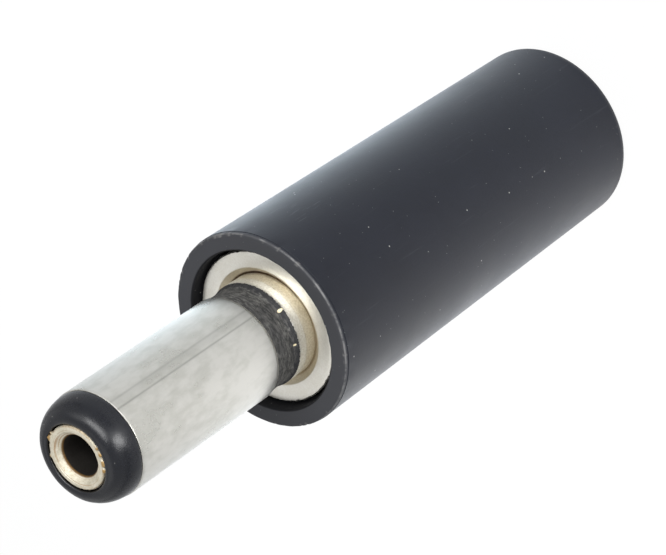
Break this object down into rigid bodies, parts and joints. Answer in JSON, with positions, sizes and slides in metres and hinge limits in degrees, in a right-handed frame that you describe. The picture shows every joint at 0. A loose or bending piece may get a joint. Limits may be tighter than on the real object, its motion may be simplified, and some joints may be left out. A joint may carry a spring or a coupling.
{
  "type": "inline dc power plug",
  "caption": "Inline barrel plug for low-voltage DC power, with a black screw-on cover, a nickel-plated barrel, a black nose and a hollow centre contact.",
  "frame": {"origin": "centre of the cover's flat rear end, on which the plug stands", "axes": "+Z along the plug's axis, from the cord end to the tip; the centre terminal's tag is on +X and the sleeve terminal's tail on -X"},
  "size_m": [0.0102, 0.0102, 0.0382],
  "materials": {
    "cover_plastic": "charcoal moulded plastic, satin",
    "body_nickel": "turned brass, nickel plated, faintly warm",
    "ring_plastic": "matt black plastic",
    "barrel_nickel": "turned brass, nickel plated, satin",
    "tip_plastic": "glossy black plastic",
    "contact_nickel": "turned brass, thin nickel plating with a gold tint",
    "washer_fibre": "brown pressed fibre",
    "terminal_nickel": "stamped brass sheet, nickel plated"
  },
  "bodies": {
    "cover": {"cover": "cover_plastic"},
    "lift": {"base_ring": "ring_plastic"},
    "insert": {"threaded_body": "body_nickel", "barrel": "barrel_nickel", "tip_insulator": "tip_plastic", "centre_contact": "contact_nickel", "insulating_washer": "washer_fibre", "sleeve_terminal": "terminal_nickel", "centre_terminal": "terminal_nickel"}
  },
  "joints": [
    {"name": "insert_lift", "type": "slide", "parent": "cover", "child": "lift", "axis": [0, 0, 1], "range_m": [0, 0.0045]},
    {"name": "insert_turn", "type": "hinge", "parent": "lift", "child": "insert", "pos_m": [0, 0, 0.0242], "axis": [0, 0, 1], "range_deg": [0, 2160]}
  ],
  "couplings": [
    {"joint": "insert_turn", "follows": "insert_lift", "rad_per_m": 8377.6}
  ]
}
